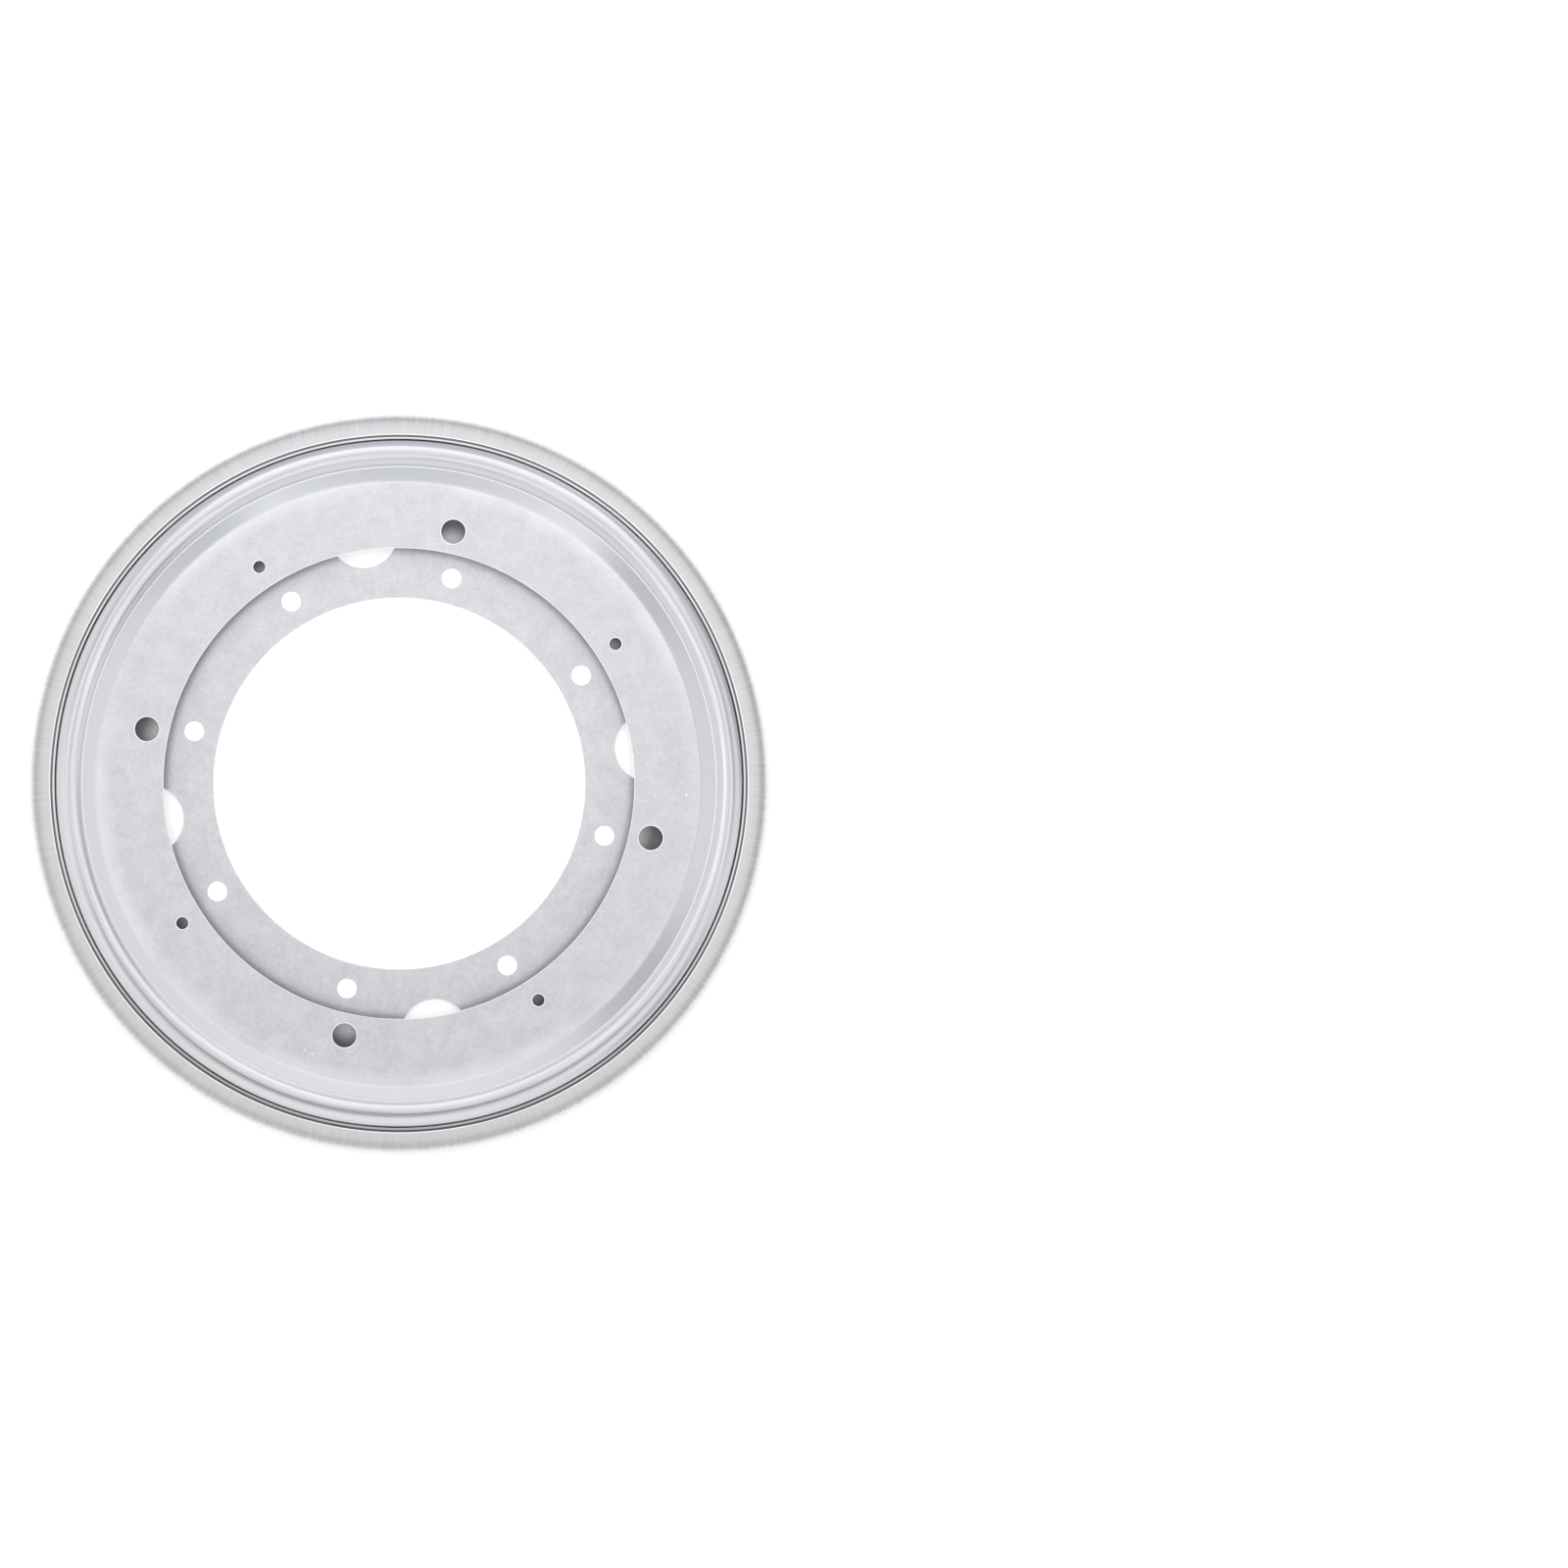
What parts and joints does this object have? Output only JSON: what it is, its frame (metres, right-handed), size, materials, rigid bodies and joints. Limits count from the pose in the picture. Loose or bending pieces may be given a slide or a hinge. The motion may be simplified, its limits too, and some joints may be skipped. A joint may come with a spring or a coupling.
{
  "type": "lazy susan bearing",
  "caption": "Flat ring turntable bearing of pressed sheet steel: the upper ring turns freely on loose balls caught between it and the lower ring's rolled rim.",
  "frame": {"origin": "centre of the base face, on the axis of rotation", "axes": "+Z along the axis of rotation, out of the top mounting face; X and Y in the base face"},
  "size_m": [0.3048, 0.3048, 0.0079],
  "materials": {
    "zinc_sheet": "zinc-coated cold-rolled sheet, matte, with a fine grain",
    "ball_steel": "polished bearing steel"
  },
  "bodies": {
    "lower_ring": {"lower_plate": "zinc_sheet"},
    "upper_ring": {"upper_plate": "zinc_sheet"},
    "ball_row": {"ball_01": "ball_steel", "ball_02": "ball_steel", "ball_03": "ball_steel", "ball_04": "ball_steel", "ball_05": "ball_steel", "ball_06": "ball_steel", "ball_07": "ball_steel", "ball_08": "ball_steel", "ball_09": "ball_steel", "ball_10": "ball_steel", "ball_11": "ball_steel", "ball_12": "ball_steel", "ball_13": "ball_steel", "ball_14": "ball_steel", "ball_15": "ball_steel", "ball_16": "ball_steel", "ball_17": "ball_steel", "ball_18": "ball_steel", "ball_19": "ball_steel", "ball_20": "ball_steel", "ball_21": "ball_steel", "ball_22": "ball_steel", "ball_23": "ball_steel", "ball_24": "ball_steel", "ball_25": "ball_steel", "ball_26": "ball_steel", "ball_27": "ball_steel", "ball_28": "ball_steel", "ball_29": "ball_steel", "ball_30": "ball_steel", "ball_31": "ball_steel", "ball_32": "ball_steel", "ball_33": "ball_steel", "ball_34": "ball_steel", "ball_35": "ball_steel", "ball_36": "ball_steel", "ball_37": "ball_steel", "ball_38": "ball_steel", "ball_39": "ball_steel", "ball_40": "ball_steel", "ball_41": "ball_steel", "ball_42": "ball_steel", "ball_43": "ball_steel", "ball_44": "ball_steel", "ball_45": "ball_steel", "ball_46": "ball_steel", "ball_47": "ball_steel", "ball_48": "ball_steel", "ball_49": "ball_steel", "ball_50": "ball_steel", "ball_51": "ball_steel", "ball_52": "ball_steel", "ball_53": "ball_steel", "ball_54": "ball_steel", "ball_55": "ball_steel", "ball_56": "ball_steel"}
  },
  "joints": [
    {"name": "turntable_spin", "type": "hinge", "parent": "lower_ring", "child": "upper_ring", "pos_m": [0, 0, 0.00397], "axis": [0, 0, 1], "continuous": true},
    {"name": "ball_row_spin", "type": "hinge", "parent": "lower_ring", "child": "ball_row", "pos_m": [0, 0, 0.00397], "axis": [0, 0, 1], "continuous": true}
  ],
  "couplings": [
    {"joint": "ball_row_spin", "follows": "turntable_spin", "ratio": 0.5}
  ]
}
